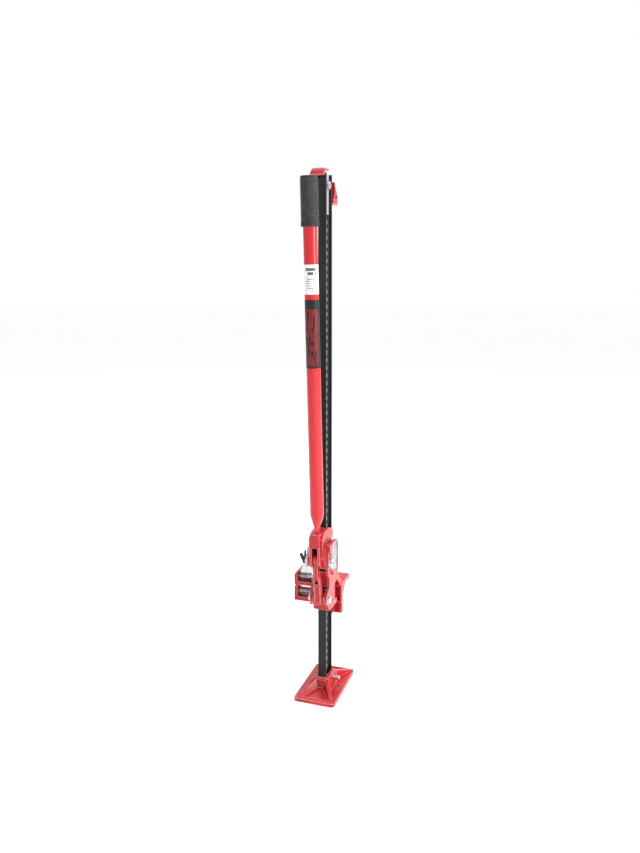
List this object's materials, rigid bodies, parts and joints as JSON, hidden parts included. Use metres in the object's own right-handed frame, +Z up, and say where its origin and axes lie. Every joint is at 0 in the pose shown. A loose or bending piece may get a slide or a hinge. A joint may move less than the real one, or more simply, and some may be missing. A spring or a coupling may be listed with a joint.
{
  "type": "high-lift toe jack",
  "caption": "High-lift jack: a punched I-section rack bar on a cast foot, with two pin-climbing runners, a lifting toe, a long handle with a rubber grip and a swinging top clamp.",
  "frame": {"origin": "centre of the foot's underside, on the rack bar's axis", "axes": "+Z up along the rack bar, +X out along the lifting toe, -X towards the handle, +Y towards the climbing pins"},
  "size_m": [0.2595, 0.1255, 1.2374],
  "materials": {
    "red_enamel": "glossy red enamel over rough casting",
    "red_gloss": "smooth gloss red enamel on tube",
    "black_enamel": "satin black enamel on rolled bar",
    "bright_steel": "bright turned steel",
    "zinc_plate": "bright zinc plate",
    "zinc_wire": "zinc-plated spring wire",
    "dark_steel": "plain turned steel",
    "satin_aluminium": "satin grey metal",
    "black_lever": "black oxide",
    "black_plastic": "moulded black plastic",
    "black_rubber": "ribbed rubber",
    "white_vinyl": "plain white film",
    "black_vinyl": "black film with plain red stripes"
  },
  "bodies": {
    "rack": {"rack_bar": "black_enamel", "foot_plate": "red_enamel", "foot_pin": "bright_steel", "clamp_bolt": "zinc_plate", "clamp_washers": "zinc_plate", "clamp_nut": "zinc_plate"},
    "clamp": {"top_clamp": "red_enamel"},
    "small_runner_body": {"small_runner": "red_enamel", "link_foot_pin": "bright_steel", "link_foot_washers": "zinc_plate", "link_foot_split_pin": "zinc_wire", "runner_roll_pins": "bright_steel"},
    "small_pin_body": {"small_climbing_pin": "zinc_plate", "small_pin_collar": "dark_steel", "small_pin_spring": "zinc_wire"},
    "large_runner_body": {"large_runner": "red_enamel", "cheek_plate": "satin_aluminium", "fulcrum_pin": "bright_steel", "fulcrum_washers": "zinc_plate", "fulcrum_split_pin": "zinc_wire", "latch_bracket": "zinc_plate", "latch_bracket_screws": "zinc_plate", "latch_leaf_spring": "satin_aluminium"},
    "large_pin_body": {"large_climbing_pin": "zinc_plate", "large_pin_collar": "dark_steel", "large_pin_spring": "zinc_wire"},
    "latch": {"latch_lever": "black_lever", "latch_pivot": "zinc_plate"},
    "handle": {"handle_socket": "red_enamel", "handle_tube": "red_gloss", "tube_end_plug": "black_plastic", "handle_grip": "black_rubber", "plain_label": "white_vinyl", "striped_label": "black_vinyl", "socket_roll_pin": "zinc_plate", "link_head_pin": "bright_steel"},
    "link_body": {"link": "red_enamel"}
  },
  "joints": [
    {"name": "clamp_swing", "type": "hinge", "parent": "rack", "child": "clamp", "pos_m": [0, 0, 1.196], "axis": [0, -1, 0], "range_deg": [0, 50]},
    {"name": "climb", "type": "slide", "parent": "rack", "child": "small_runner_body", "axis": [0, 0, 1], "range_m": [-0.126, 0.738]},
    {"name": "small_pin_draw", "type": "slide", "parent": "small_runner_body", "child": "small_pin_body", "axis": [0, 1, 0], "range_m": [0, 0.012], "stiffness_N_per_m": 500, "springref_m": -0.01, "deforming": ["small_pin_spring"]},
    {"name": "lift_stroke", "type": "slide", "parent": "small_runner_body", "child": "large_runner_body", "axis": [0, 0, 1], "range_m": [0, 0.036]},
    {"name": "handle_swing", "type": "hinge", "parent": "large_runner_body", "child": "handle", "pos_m": [-0.036, 0, 0.3165], "axis": [0, -1, 0], "range_deg": [0, 90]},
    {"name": "large_pin_draw", "type": "slide", "parent": "large_runner_body", "child": "large_pin_body", "axis": [0, -1, 0], "range_m": [0, 0.0076], "deforming": ["large_pin_spring"]},
    {"name": "latch_flip", "type": "hinge", "parent": "large_runner_body", "child": "latch", "pos_m": [0, 0.046, 0.292], "axis": [1, 0, 0], "range_deg": [-55, 0]},
    {"name": "link_swing", "type": "hinge", "parent": "small_runner_body", "child": "link_body", "pos_m": [-0.04, 0, 0.23], "axis": [0, -1, 0], "range_deg": [-2.1, 0]}
  ],
  "couplings": [
    {"joint": "lift_stroke", "follows": "handle_swing", "m_per_rad": 0.022918},
    {"joint": "link_swing", "follows": "handle_swing", "ratio": -0.023178}
  ]
}
